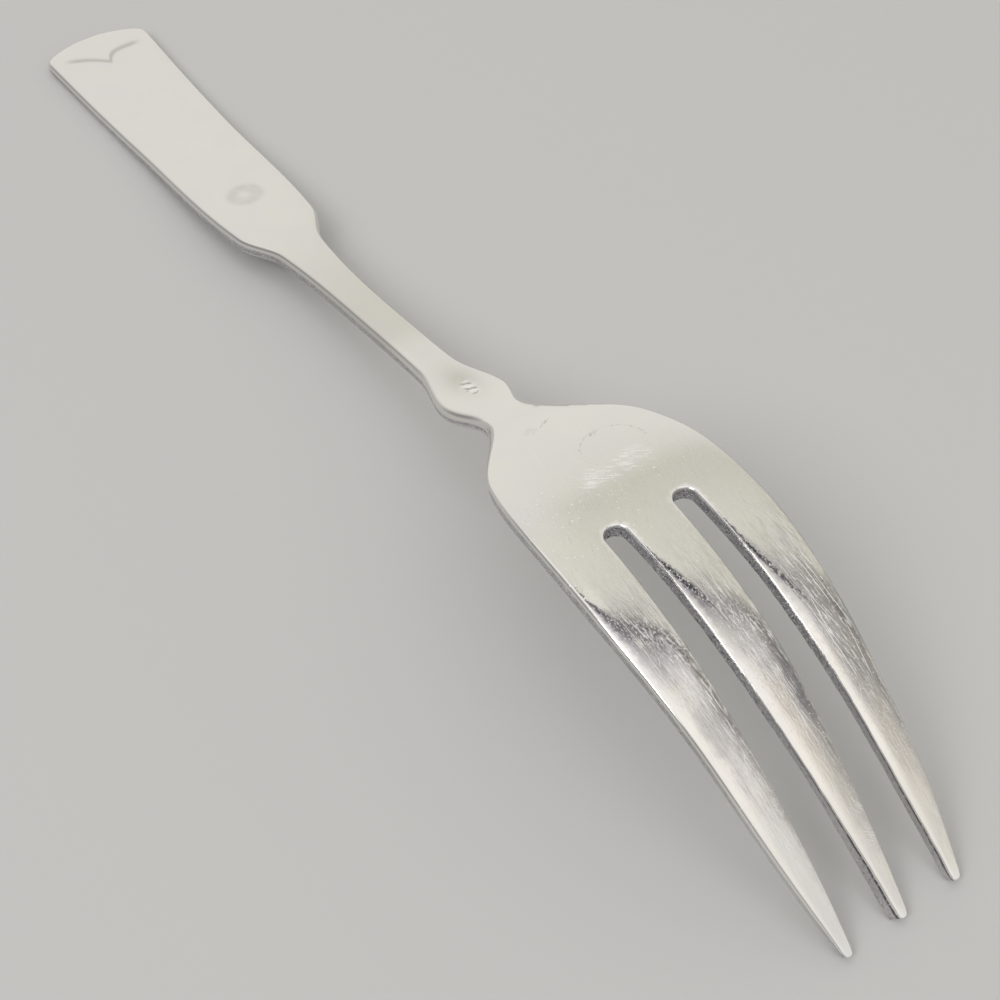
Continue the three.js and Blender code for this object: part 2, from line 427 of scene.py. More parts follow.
def dent_share(at, across):
    """1 in the dent in the middle of the collar, fading to 0 around it."""
    from_middle = ((at - DENT_AT) / DENT_LENGTH) ** 2 + ((across - DENT_ACROSS) / DENT_WIDTH) ** 2
    return np.exp(-(from_middle**2))


def dent(at, across):
    """Depth of the dent, a shallow blank one with ridges across its bottom."""
    ridges = np.cos(2 * math.pi * (at - DENT_AT + RIDGE_SLANT * (across - DENT_ACROSS)) / RIDGE_SPACING)
    return dent_share(at, across) * (DENT_DEPTH + DENT_RIDGE * ridges)


def painted_shade_and_grime(at, across):
    """How far the colour is darkened, from 0 to 1: painted shade along the crease, a darker ring round
    the dent and grime on the stem.
    """
    from_dent = ((at - DENT_AT + 1.8) / 3.6) ** 2 + ((across - DENT_ACROSS) / 1.9) ** 2
    round_dent = np.exp(-from_dent) * (1 - dent_share(at, across))
    stem = smooth_share(at, SHOULDER_AT, STEM_AT - 4) * (1 - smooth_share(at, STEM_AT, STEM_AT + 8))
    return np.maximum(crease_groove(at, across), np.maximum(0.7 * round_dent, 0.45 * stem))


def place_on_tine(at, across):
    """Place across a tine, from -1 at its left edge to 1 at its right edge."""
    inner = slot_inner(at)
    outer = slot_outer(at)
    half = half_width(at)
    in_middle = abs(across) < (inner + outer) / 2
    middle = np.where(in_middle, 0, np.sign(across) * (half + outer) / 2)
    reach = np.where(in_middle, inner, (half - outer) / 2)
    return (across - middle) / reach


def wear(at, across):
    """How scratched a tine is, from 0 to 1. Its left edge has kept its polish."""
    return smooth_share(at, SLOT_AT + 2, BEND_AT - 4) * smooth_share(place_on_tine(at, across), -0.75, -0.2)


def wobble(at, across, size, seed):
    """Smooth noise between -1 and 1 over the blank, its bumps about as wide as size."""
    points = np.stack(np.broadcast_arrays(at / size, across / size, seed), axis=-1)
    return np.array([noise.noise(Vector(point)) for point in points])


def back_depth(at, across):
    """Depth of the finished back below the pressed sheet: rolled edges, crease, dent and hand polishing."""
    polish = POLISH_WAVE * wobble(at, across, 3.5, 0.3)
    return crown(at, across) + crease(at, across) + dent(at, across) + polish


def spaced(start, stop):
    return np.linspace(start, stop, max(2, round(abs(stop - start) / EDGE_STEP)) + 1)


def half_outline():
    """One side of the blank's outline from the middle of the handle's end to the tip of the middle tine.
    Rows of distance from the end, distance across, and 1 on a slot's edge or 0 on the outer edge."""
    rows = []

    def add(at, across, slot):
        rows.append(np.stack(np.broadcast_arrays(at, across, float(slot)), axis=-1))

    # The bowed end and its round corner
    corner_at = END_BOW + END_CORNER
    corner_y = half_width(corner_at) - END_CORNER
    y = spaced(0, corner_y)
    add(END_BOW * (y / corner_y) ** 2, y, 0)
    lean = 2 * END_BOW / corner_y
    u = np.linspace(0, 1, 16)[1:-1, None]
    handle = 0.56 * END_CORNER
    ends = np.array(
        [
            (END_BOW, corner_y),
            (END_BOW + handle * lean, corner_y + handle),
            (corner_at - handle, half_width(corner_at - handle)),
            (corner_at, half_width(corner_at)),
        ]
    )
    weights = [(1 - u) ** 3, 3 * u * (1 - u) ** 2, 3 * u * u * (1 - u), u**3]
    curve = sum(weight * point for weight, point in zip(weights, ends))
    add(curve[:, 0], curve[:, 1], 0)

    # The outer edge and the rounded tip of the outer tine
    at = spaced(corner_at, TIP_AT - TIP_ROUND)
    add(at, half_width(at), 0)
    turn = np.linspace(-1, 1, 15)[1:-1]
    bluntness = (1 - abs(turn) ** 2.6) ** (1 / 2.6)
    tip_at = TIP_AT - TIP_ROUND * (1 - bluntness)
    middle = (half_width(tip_at) + slot_outer(tip_at)) / 2
    reach = (half_width(tip_at) - slot_outer(tip_at)) / 2
    add(tip_at, middle - turn * reach, 1)

    # Up one edge of the slot, round its end and down the other
    radius = SLOT_WIDTH / 2
    at = spaced(TIP_AT - TIP_ROUND, SLOT_AT + radius)
    add(at, slot_outer(at), 1)
    turn = np.linspace(0, math.pi, 25)[1:-1]
    arc_at = SLOT_AT + radius * (1 - np.sin(turn))
    share = (1 + np.cos(turn)) / 2
    add(arc_at, slot_inner(arc_at) + share * (slot_outer(arc_at) - slot_inner(arc_at)), 1)
    add(at[::-1], slot_inner(at[::-1]), 1)

    # Half of the middle tine's tip
    turn = np.linspace(1, 0, 8)[1:]
    tip_at = TIP_AT - TIP_ROUND * (1 - (1 - turn**2.6) ** (1 / 2.6))
    add(tip_at, turn * slot_inner(tip_at), 1)
    return np.concatenate(rows)


def outline():
    right = half_outline()
    left = right[-2:0:-1] * (1, -1, 1)
    return np.concatenate([right, left])


def inward(loop):
    """Unit vectors from a loop into the metal. The loop runs clockwise."""
    along = np.roll(loop, -1, axis=0) - np.roll(loop, 1, axis=0)
    along /= np.linalg.norm(along, axis=1)[:, None]
    return np.stack([along[:, 1], -along[:, 0]], axis=1)


def inside(places, loop):
    """Which places lie inside a closed loop, by counting the loop's edges that lie past each of them."""
    at, across = places.T
    found = np.zeros(len(places), dtype=bool)
    for start, end in zip(loop, np.roll(loop, -1, axis=0)):
        beside = (start[1] > across) != (end[1] > across)
        if beside.any():
            slant = (end[0] - start[0]) / (end[1] - start[1])
            found ^= beside & (at < start[0] + (across - start[1]) * slant)
    return found


def staggered(low, high, step):
    """Places on staggered rows over the whole width of the fork."""
    rows = np.arange(low, high, step)
    columns = np.arange(-ROOT_WIDTH / 2, ROOT_WIDTH / 2, step)
    at, across = np.meshgrid(rows, columns, indexing="ij")
    across[::2] += step / 2
    return np.stack([at.ravel(), across.ravel()], axis=1)


def face_points(loop):
    """Places spread over the metal inside a loop and clear of it, closer by the crease and the dent."""
    tree = KDTree(len(loop))
    for i, place in enumerate(loop):
        tree.insert((*place, 0), i)
    tree.balance()

    def detailed(places):
        at, across = places.T
        by_crease = abs(at - crease_line(across)) < 3 * CREASE_WIDTH
        by_dent = np.hypot((at - DENT_AT) / DENT_LENGTH, (across - DENT_ACROSS) / DENT_WIDTH) < 1.7
        return by_crease | by_dent

    coarse = staggered(0, TIP_AT, FACE_STEP)
    fine = staggered(0, COLLAR_AT + 2, FINE_STEP)
    places = np.concatenate([coarse[~detailed(coarse)], fine[detailed(fine)]])
    places = places[inside(places, loop)]
    clear = [tree.find((*place, 0))[2] > 0.6 * EDGE_STEP for place in places]
    return places[clear]


def edge_rings():
    """Rings of the blank's coordinates round its edge, from the back over the wall to the face. With each
    ring go how rawly its points are cut, which on the outer walls also paints shade, and 1 where a highlight
    is painted on the rims at the ends of the slots."""
    edge = outline()
    loop, on_slot = edge[:, :2], edge[:, 2]
    inner_side = inward(loop)
    at, across = loop.T
    faces_left = smooth_share(inner_side[:, 1], 0, 0.7)
    raggedness = SLOT_RAGGED * on_slot * faces_left * smooth_share(at, SLOT_AT, BEND_AT)
    ragged = raggedness * (wobble(at, across, 1.1, 4.7) + wobble(at, across, 3.1, 9.2))
    loop = loop + inner_side * ragged[:, None]
    rounding = edge_round(at) * (1 - on_slot) + SLOT_EDGE * on_slot
    for _ in range(6):
        rounding = (np.roll(rounding, 1) + rounding + np.roll(rounding, -1)) / 3
    thick = thickness(at)
    near_tip = on_slot * smooth_share(at, LEAN_START, TIP_AT)
    on_middle = abs(across) < (slot_inner(at) + slot_outer(at)) / 2
    on_right = ~on_middle & (across > 0)
    lean = near_tip * faces_left * (MIDDLE_LEAN * on_middle + OUTER_LEAN * on_right)

    # The rounded upper edge, the wall and the rounded lower edge
    rings = []
    cuts_and_shades = []
    slot_end_highlights = []
    # How rawly the walls are cut; on the outer walls their share also paints shade and reflection
    raw_and_shaded_wall = np.maximum(on_slot, OUTER_RAWNESS_AND_SHADE)
    # Where a highlight is painted on the rims at the ends of the slots
    by_slot_end = on_slot * (1 - smooth_share(at, SLOT_AT + 2, SLOT_AT + 8))
    crisp = np.maximum(on_slot, smooth_share(at, KNEE_AT, POINT_AT))

    def ring(inset, depth, wall, slot_end_highlight):
        place = loop + inner_side * inset[:, None]
        place[:, 1] -= inner_side[:, 1] * lean * depth / thick
        rings.append(np.column_stack([place, depth]))
        cuts_and_shades.append(raw_and_shaded_wall * wall)
        slot_end_highlights.append(by_slot_end * slot_end_highlight)

    for turn in np.linspace(math.pi / 2, 0, BEVEL_STEPS + 1):
        inset = rounding * (1 - math.cos(turn))
        place = loop + inner_side * inset[:, None]
        ring(inset, back_depth(*place.T) + rounding * (1 - math.sin(turn)), crisp * (turn == 0), True)
    upper = rings[-1][:, 2]
    lower = thick - rounding
    for share in np.linspace(0, 1, WALL_STEPS + 1)[1:]:
        rough = SLOT_RAGGED * on_slot * wobble(at * 2, across + 3 * share, 1.3, 7.5)
        ring(rough, upper + (lower - upper) * share, True, False)
    for turn in np.linspace(0, math.pi / 2, BEVEL_STEPS + 1)[1:]:
        ring(rounding * (1 - math.cos(turn)), thick - rounding * (1 - math.sin(turn)), False, False)
    return rings, cuts_and_shades, slot_end_highlights


def fill(rim_place):
    """Places spread inside a ring, and triangles over the ring and those places."""
    count = len(rim_place)
    spread = face_points(rim_place)
    places = np.concatenate([rim_place, spread])
    rim_edges = [(i, (i + 1) % count) for i in range(count)]
    _, _, triangles, origins, _, _ = delaunay_2d_cdt(
        [Vector(place) for place in places], rim_edges, [], 0, 1e-6, True
    )
    first = np.array([origin[0] for origin in origins])
    triangles = first[np.array(triangles)]
    return spread, triangles[inside(places[triangles].mean(axis=1), rim_place)].tolist()


def skin():
    """The fork's mesh: vertices, faces, the blank's coordinates of each vertex, how rawly cut it is there,
    which on the outer walls also paints shade, and 1 where a highlight is painted on the rims at the ends of
    the slots."""
    rings, cuts_and_shades, slot_end_highlights = edge_rings()
    spread, triangles = fill(rings[0][:, :2])
    top_spread = np.column_stack([spread, back_depth(*spread.T)])
    low_spread = np.column_stack([spread, thickness(spread[:, 0])])
    blank = np.concatenate([*rings, top_spread, low_spread])

    # Four-sided faces between the rings, then the triangles of the back and the same ones on the face below
    count = len(rings[0])
    last_ring = (len(rings) - 1) * count
    top_start = last_ring + count
    low_start = top_start + len(spread)
    faces = []
    for start in range(0, last_ring, count):
        for i in range(count):
            j = (i + 1) % count
            faces.append((start + i, start + j, start + count + j, start + count + i))
    for triangle in triangles:
        top = [c if c < count else top_start + c - count for c in triangle]
        low = [last_ring + c if c < count else low_start + c - count for c in triangle]
        faces.append(top)
        faces.append(low[::-1])
    uncut = np.zeros(2 * len(spread))
    cut = np.concatenate([*cuts_and_shades, uncut])
    slot_end_highlight = np.concatenate([*slot_end_highlights, uncut])
    return press(*blank.T), faces, blank, cut, slot_end_highlight


def build_fork(material):
    points, faces, blank, cut, slot_end_highlight = skin()
    mesh = bpy.data.meshes.new("fork_skin")
    mesh.from_pydata(points.tolist(), [], faces)
    at, across, depth = blank.T
    shade_and_grime_share = np.where(depth < 1, painted_shade_and_grime(at, across), 0)
    attribute = mesh.attributes.new("blank", "FLOAT_VECTOR", "POINT")
    attribute.data.foreach_set("vector", blank.astype(np.float32).ravel())
    shares = {
        "painted_shade_and_grime": shade_and_grime_share,
        "wear": wear(at, across),
        "place": place_on_tine(at, across),
        "cut": cut,
        "slot_end_highlight": slot_end_highlight,
    }
    for name, values in shares.items():
        attribute = mesh.attributes.new(name, "FLOAT", "POINT")
        attribute.data.foreach_set("value", values.astype(np.float32))
    mesh.materials.append(material)
    mesh.polygons.foreach_set("use_smooth", [True] * len(faces))
    mesh.validate()
    mesh.update()
    piece = bpy.data.objects.new("fork_skin", mesh)
    bpy.context.collection.objects.link(piece)
    return piece


def opaque(colour):
    """A colour for a socket: another socket as it is, or three values with full alpha."""
    return colour if isinstance(colour, bpy.types.NodeSocket) else (*colour, 1)


class Nodes:
    """Short ways to add shader nodes to one tree. An input is a value, or the socket that feeds it."""

    def __init__(self, owner):
        owner.use_nodes = True
        self.tree = owner.node_tree

    def add(self, kind, inputs, **settings):
        node = self.tree.nodes.new("ShaderNode" + kind)
        for name, setting in settings.items():
            setattr(node, name, setting)
        self.feed(node, inputs)
        return node

    def feed(self, node, inputs):
        for key, value in inputs.items():
            if isinstance(value, bpy.types.NodeSocket):
                self.tree.links.new(value, node.inputs[key])
            else:
                node.inputs[key].default_value = value

    def attribute(self, name, output="Fac"):
        """Values that the mesh holds under a name."""
        return self.add("Attribute", {}, attribute_name=name).outputs[output]

    def maths(self, operation, first, second=0.0):
        return self.add("Math", {0: first, 1: second}, operation=operation).outputs[0]

    def times(self, first, *others):
        """The product of some values."""
        product = first
        for other in others:
            product = self.maths("MULTIPLY", product, other)
        return product

    def most(self, first, *others):
        """The largest of some values."""
        largest = first
        for other in others:
            largest = self.maths("MAXIMUM", largest, other)
        return largest

    def size(self, value):
        """A value without its sign."""
        return self.maths("ABSOLUTE", value)

    def share(self, value, low, high):
        """0 at low, 1 at high and a smooth rise between."""
        reach = {"Value": value, "From Min": low, "From Max": high}
        return self.add("MapRange", reach, interpolation_type="SMOOTHSTEP").outputs[0]

    def between(self, value, low, high, to_low, to_high):
        """One value at low, another at high and a straight rise or fall between."""
        reach = {"Value": value, "From Min": low, "From Max": high, "To Min": to_low, "To Max": to_high}
        return self.add("MapRange", reach).outputs[0]

    def blend(self, share, first, second):
        """The first colour where share is 0, and the second where it is 1."""
        inputs = {0: share, 6: opaque(first), 7: opaque(second)}
        return self.add("Mix", inputs, data_type="RGBA").outputs[2]

    def tint(self, colour, share, strength, new):
        """A colour with a new one laid over it at some strength where share is 1."""
        return self.blend(self.times(share, strength), colour, new)

    def shade(self, first, second):
        """One colour times another."""
        inputs = {0: 1.0, 6: first, 7: second}
        return self.add("Mix", inputs, data_type="RGBA", blend_type="MULTIPLY").outputs[2]

    def ramp(self, value, stops):
        """A colour that runs through (place, colour) stops."""
        low, high = stops[0][0], stops[-1][0]
        node = self.add("ValToRGB", {0: self.between(value, low, high, 0, 1)})
        elements = node.color_ramp.elements
        elements[0].color = opaque(stops[0][1])
        elements[1].color = opaque(stops[-1][1])
        for place, colour in stops[1:-1]:
            elements.new((place - low) / (high - low)).color = opaque(colour)
        return node.outputs["Color"]

    def turned(self, vector, degrees, stretch):
        """Coordinates turned in the plane of the blank, then scaled along and across that direction."""
        turn = {"Vector": vector, "Rotation": (0, 0, -math.radians(degrees))}
        turned = self.add("Mapping", turn).outputs[0]
        return self.add("Mapping", {"Vector": turned, "Scale": (*stretch, 1)}).outputs[0]

    def offsets(self, vector, middle, degrees, reach=(1, 1)):
        """Distances from a middle along and across a direction on the blank, as shares of a reach."""
        moved = self.add("VectorMath", {0: vector, 1: (*middle, 0)}, operation="SUBTRACT").outputs[0]
        cosine = math.cos(math.radians(degrees))
        sine = math.sin(math.radians(degrees))
        axes = [(cosine / reach[0], sine / reach[0], 0), (-sine / reach[1], cosine / reach[1], 0)]
        found = [self.add("VectorMath", {0: moved, 1: axis}, operation="DOT_PRODUCT") for axis in axes]
        return [node.outputs["Value"] for node in found]

    def noise(self, vector, scale, detail=2):
        return self.add("TexNoise", {"Vector": vector, "Scale": scale, "Detail": detail}).outputs[0]

    def grain(self, vector, degrees, stretch, detail=2):
        """Noise turned and stretched on the blank. Stretch is its waves per millimetre, along and across."""
        return self.noise(self.turned(vector, degrees, stretch), 1, detail)

    def scratches(self, vector, middle, degrees, reach, spacing, width, lengths):
        """Scratches in one direction, 1 on a scratch. Each has its own length, and its middle lies at its
        own distance along that direction, within reach of the given middle."""
        forward, sideways = self.offsets(vector, middle, degrees)
        bend = self.between(self.noise(vector, 0.08, 1), 0, 1, -1, 1)
        lane = self.maths("ADD", self.maths("DIVIDE", sideways, spacing), bend)
        cells = self.add("TexVoronoi", {"W": lane, "Scale": 1}, voronoi_dimensions="1D").outputs
        chance = self.add("SeparateColor", {0: cells["Color"]}).outputs
        start = self.between(chance[0], 0, 1, -reach, reach)
        past = self.size(self.maths("SUBTRACT", forward, start))
        half_length = self.between(chance[1], 0, 1, lengths[0] / 2, lengths[1] / 2)
        along = self.share(past, half_length, self.times(half_length, 0.6))
        line = self.share(cells["Distance"], width / spacing, width / spacing / 3)
        return self.times(line, along)

    def scratch_sets(self, vector, middle, sets):
        """Several sets of scratches round one middle."""
        return self.most(*[self.scratches(vector, middle, *each) for each in sets])

    def bumps(self, layers):
        """A normal bumped by (height, depth) layers, laid over each other. Depths are in millimetres."""
        total = 0.0
        for height, depth in layers:
            inputs = {0: height, 1: depth, 2: total}
            total = self.add("Math", inputs, operation="MULTIPLY_ADD").outputs[0]
        return self.add("Bump", {"Height": total, "Distance": MM, "Strength": 1}).outputs[0]


class Blank:
    """Sockets of one material: the place on the blank, the mesh's shares, and two made of them."""

    def __init__(self, nodes):
        self.vector = nodes.attribute("blank", "Vector")
        split = nodes.add("SeparateXYZ", {0: self.vector}).outputs
        self.at = split["X"]
        self.across = split["Y"]
        self.depth = split["Z"]
        self.place = nodes.attribute("place")
        self.shade_and_grime_share = nodes.attribute("painted_shade_and_grime")
        self.worn = nodes.attribute("wear")
        self.cut = nodes.attribute("cut")
        self.slot_end_highlight = nodes.attribute("slot_end_highlight")
        self.on_tines = nodes.share(self.at, SLOT_AT + 4, BEND_AT - 6)
        self.most_worn = nodes.times(self.worn, nodes.between(self.at, WAIST_AT, POINT_AT - 3, 1, 0.3))


def oval_distance(nodes, blank, middle, reach, lean=0):
    """Distance from the middle of an oval on the back, 1 at its edge. Lean turns it, in degrees."""
    along, across = nodes.offsets(blank.vector, middle, lean, reach)
    parts = nodes.add("CombineXYZ", {"X": along, "Y": across, "Z": blank.depth}).outputs[0]
    return nodes.add("VectorMath", {0: parts}, operation="LENGTH").outputs["Value"]


def oval_patch(nodes, blank, middle, reach, ragged, lean=0):
    """1 inside an oval on the back and 0 outside, with an edge that a noise makes ragged."""
    distance = oval_distance(nodes, blank, middle, reach, lean)
    distance = nodes.maths("ADD", distance, nodes.times(ragged, RAGGEDNESS))
    return nodes.share(distance, 1 + RAGGEDNESS / 2, 1)


def ring_mark(nodes, blank, middle, radius, width):
    """1 on a ring on the back and 0 beside it. Width is a share of the radius."""
    past = nodes.maths("SUBTRACT", oval_distance(nodes, blank, middle, (radius, radius)), 1)
    return nodes.share(nodes.size(past), width, width / 6)


def scratch_marks(nodes, blank):
    """Light scratches along the tines with faint ones on the bowl, and dark scratches along the tines."""
    streaks = nodes.grain(blank.vector, 4, (0.6, 4.5), 3)
    light = nodes.most(
        nodes.scratch_sets(blank.vector, LIGHT_MIDDLE, LIGHT_SCRATCHES),
        nodes.times(nodes.share(streaks, 0.54, 0.68), nodes.between(blank.at, 175, 181, 0.85, 0.5)),
    )
    dark = nodes.most(
        nodes.scratch_sets(blank.vector, DARK_MIDDLE, DARK_SCRATCHES),
        nodes.share(streaks, 0.5, 0.34),
    )
    on_bowl = nodes.scratch_sets(blank.vector, BOWL_MIDDLE, BOWL_SCRATCHES)
    light = nodes.most(nodes.times(light, blank.most_worn), nodes.times(on_bowl, 0.22))
    return light, nodes.times(dark, blank.most_worn)


def scuff_marks(nodes, blank):
    """A scuffed patch across the middle of the bowl, and hatched ones on the middle tine."""
    strokes = nodes.grain(blank.vector, 54, (0.4, 1.6))
    smears = nodes.share(nodes.grain(blank.vector, 54, (0.5, 4.5), 3), 0.52, 0.6)
    scuffs = nodes.most(smears, nodes.scratch_sets(blank.vector, SCUFF_MIDDLE, SCUFF_SCRATCHES), 0.1)
    ovals = [oval_patch(nodes, blank, middle, reach, strokes) for middle, reach in SCUFF_OVALS]
    marks = nodes.times(scuffs, nodes.most(*ovals))
    for middle, degrees in HATCHED_PLACES:
        hatching = nodes.scratches(blank.vector, middle, degrees, *HATCHING)
        hatched = oval_patch(nodes, blank, middle, HATCHED_REACH, strokes)
        marks = nodes.most(marks, nodes.times(hatching, hatched, 0.7))
    return marks


def dent_marks(nodes, blank, patches):
    """Stripes of painted highlight across the bottom of the dent, and painted shade between them."""
    in_dent = oval_patch(nodes, blank, (DENT_AT, DENT_ACROSS), (1.9, 1), patches)
    turns, _ = nodes.offsets(blank.vector, (0, 0), DENT_STRIPE_LEAN, (DENT_STRIPE_SPACING / (2 * math.pi), 1))
    wave = nodes.maths("SINE", turns)
    dent_highlights = nodes.times(in_dent, nodes.share(wave, -0.5, 0))
    dent_shade_stripes = nodes.times(in_dent, nodes.share(wave, 0, -0.7))
    return dent_highlights, dent_shade_stripes


def pit_marks(nodes, blank):
    """Pits, thickest on one side of the bowl and the roots of the tines, with fine ones from the heel on."""
    cells = nodes.add("TexVoronoi", {"Vector": blank.vector, "Scale": 1.5}).outputs
    chance = nodes.add("SeparateColor", {0: cells["Color"]}).outputs
    likely = nodes.times(
        nodes.share(blank.at, 139, 149),
        nodes.share(blank.at, 170, 158),
        nodes.share(blank.across, 13, -9),
        nodes.share(nodes.noise(blank.vector, 0.35, 3), 0.32, 0.6),
        0.85,
    )
    chosen = nodes.share(nodes.maths("ADD", chance[0], likely), 1, 1.1)
    reach = nodes.between(chance[1], 0, 1, 0.1, 0.36)
    pits = nodes.times(nodes.share(cells["Distance"], reach, 0.03), chosen)
    fine = nodes.share(nodes.noise(blank.vector, 4.5, 1), 0.63, 0.76)
    return nodes.most(pits, nodes.times(fine, nodes.share(blank.at, 136, 150), 0.5))


def speckling(nodes, blank):
    """How thickly dark specks lie on the root of a tine, from 0 to 1: on a band that slants across the tine,
    and on a narrow line by the left edge of the middle and right tines."""
    on_left = nodes.share(blank.across, -4, -8)
    on_right = nodes.share(blank.across, 4, 8)
    band_at = nodes.between(blank.place, -1, 1, BAND_LEFT_AT, BAND_RIGHT_AT)
    band_at = nodes.maths("SUBTRACT", band_at, nodes.times(on_left, LEFT_BAND_SHIFT))
    past_band = nodes.maths("SUBTRACT", blank.at, band_at)
    amount = nodes.between(on_left, 0, 1, 0.42, 0.95)
    band = nodes.times(
        nodes.share(past_band, -2.5, -0.5),
        nodes.share(past_band, 4.5, 0.5),
        nodes.between(blank.place, -0.9, 0.1, 0.1, 1),
        nodes.maths("SUBTRACT", amount, nodes.times(on_right, 0.25)),
    )
    line_at = nodes.maths("SUBTRACT", blank.at, nodes.times(on_right, RIGHT_LINE_SHIFT))
    line_place = nodes.between(line_at, LINE_START, LINE_END, -0.95, -0.36)
    beside_line = nodes.size(nodes.maths("SUBTRACT", blank.place, line_place))
    line = nodes.times(
        nodes.share(beside_line, 0.19, 0.03),
        nodes.share(line_at, LINE_START - 1, LINE_START + 2),
        nodes.share(line_at, LINE_END + 1, LINE_END - 2),
        nodes.maths("SUBTRACT", 1, on_left),
    )
    return band, line


def stains(nodes, blank):
    """A short dark streak by the heel, part of a ring left by a drop on the bowl, and a faint round stain on
    the handle, from 0 to 1."""
    spots = nodes.noise(blank.vector, 1.6, 3)
    streak = oval_patch(nodes, blank, *STREAK_OVAL, spots, STREAK_LEAN)
    faint = oval_patch(nodes, blank, *FAINT_OVAL, spots)
    blot = oval_patch(nodes, blank, *BLOT_OVAL, spots)
    drop = nodes.times(
        ring_mark(nodes, blank, *DROP_RING),
        nodes.share(blank.at, 147, 143),
        nodes.share(spots, 0.4, 0.6),
    )
    on_bowl = nodes.most(
        nodes.times(nodes.most(streak, blot), 0.75), nodes.times(faint, 0.3), nodes.times(drop, 0.4)
    )
    grains = nodes.share(nodes.noise(blank.vector, 3.2, 3), 0.45, 0.55)
    uneven = nodes.between(nodes.noise(blank.vector, 0.5, 2), 0.3, 0.7, 0.5, 1)
    on_handle = nodes.times(ring_mark(nodes, blank, *HANDLE_RING), 0.42, uneven)
    return nodes.most(nodes.times(on_bowl, grains), on_handle)


def polished_colour(nodes, blank, dark_lines, patches):
    """Colour of the polished metal: brushed on the bowl, streaked and mottled on the tines, with patches of
    painted reflection and shade on the tines, a painted cool highlight at the tips and a painted highlight
    along the left edges."""
    tarnish = nodes.share(nodes.noise(blank.vector, 0.16, 4), 0.35, 0.65)
    colour = nodes.blend(tarnish, CREAM_STEEL, PLAIN_STEEL)
    brushing = nodes.share(nodes.grain(blank.vector, -14, (0.5, 5), 3), 0.53, 0.75)
    colour = nodes.tint(colour, nodes.times(nodes.share(blank.at, 140, 152), brushing), 0.8, BRUSHED_STEEL)
    colour = nodes.tint(colour, dark_lines, 0.55, STREAKED_STEEL)
    # Painted cool highlight at the tips
    colour = nodes.blend(nodes.share(blank.at, POINT_AT + 2, TIP_AT + 0.5), colour, TIP_HIGHLIGHT)
    tone = nodes.share(nodes.grain(blank.vector, 3, (0.07, 0.6)), 0.42, 0.6)
    colour = nodes.tint(colour, nodes.times(tone, blank.on_tines), 0.35, YELLOW_STEEL)
    mottle = nodes.share(nodes.grain(blank.vector, 5, (0.3, 1.1), 4), 0.42, 0.66)
    colour = nodes.tint(colour, nodes.times(mottle, blank.most_worn), 0.45, MOTTLED_STEEL)
    # Patches of painted reflection and shade on the tines
    for middle, reach, lean, strength, patch_colour in TINE_REFLECTION_PATCHES:
        patch = oval_patch(nodes, blank, middle, reach, patches, lean)
        colour = nodes.tint(colour, patch, strength, patch_colour)
    # Painted highlight along the left edges of the tines
    by_edge = nodes.share(blank.place, -0.35, -0.75)
    painted_edge_highlight = nodes.times(by_edge, nodes.share(blank.at, WAIST_AT, KNEE_AT))
    return nodes.tint(colour, painted_edge_highlight, 0.5, LEFT_EDGE_HIGHLIGHT)


def wall_colour(nodes, blank, coarse):
    """Colour of the cut walls: grey with stains, holes and light flecks, paler near the tips, with a painted
    shadow line under the burr there."""
    by_tip = nodes.share(blank.at, BEND_AT, POINT_AT - 3)
    roughly_cut = nodes.between(by_tip, 0, 1, 1, 0.35)
    stain = nodes.share(nodes.noise(blank.vector, 0.7, 3), 0.3, 0.7)
    flecks = nodes.share(nodes.noise(blank.vector, 5, 2), 0.57, 0.66)
    # Painted shadow under the burr, at the top of the wall
    burr_shadow = nodes.times(
        nodes.share(blank.depth, 0.52, 0.36),
        nodes.share(coarse, 0.35, 0.5),
        nodes.share(blank.at, BEND_AT, KNEE_AT),
    )
    wall = nodes.blend(stain, DARK_WALL, LIGHT_WALL)
    wall = nodes.blend(by_tip, wall, TIP_WALL)
    wall = nodes.tint(wall, nodes.share(coarse, 0.45, 0.3), roughly_cut, WALL_HOLES)
    wall = nodes.tint(wall, flecks, roughly_cut, WALL_FLECKS)
    return nodes.tint(wall, burr_shadow, 0.85, BURR_SHADOW)


def roughness(nodes, blank, pale):
    """Roughness of the metal, higher where it is worn, scratched or cut."""
    rough = nodes.between(nodes.noise(blank.vector, 0.35, 3), 0.3, 0.7, 0.07, 0.14)
    rough = nodes.maths("ADD", rough, nodes.times(blank.worn, 0.04))
    rough = nodes.maths("ADD", rough, nodes.times(pale, 0.35))
    return nodes.most(rough, nodes.times(blank.cut, 0.45))


def relief(nodes, blank, speckled, light, light_lines, coarse):
    """The metal's normal: fine grain all over, ripples, rubbing and grit on the tines, raised marks and
    scratches, and coarse cut walls."""
    fine_lines = nodes.grain(blank.vector, 2, (0.22, 9))
    ripples = nodes.grain(blank.vector, 20, (0.9, 1.8), 3)
    rubbed = nodes.grain(blank.vector, 6, (0.7, 4))
    grit = nodes.noise(blank.vector, 3.4, 3)
    return nodes.bumps(
        [
            (fine_lines, 0.0012),
            (nodes.times(ripples, blank.on_tines), 0.003),
            (nodes.times(rubbed, blank.worn), 0.004),
            (nodes.times(grit, nodes.most(blank.worn, speckled)), 0.005),
            (light, 0.008),
            (light_lines, 0.002),
            (nodes.times(coarse, blank.cut), 0.08),
        ]
    )


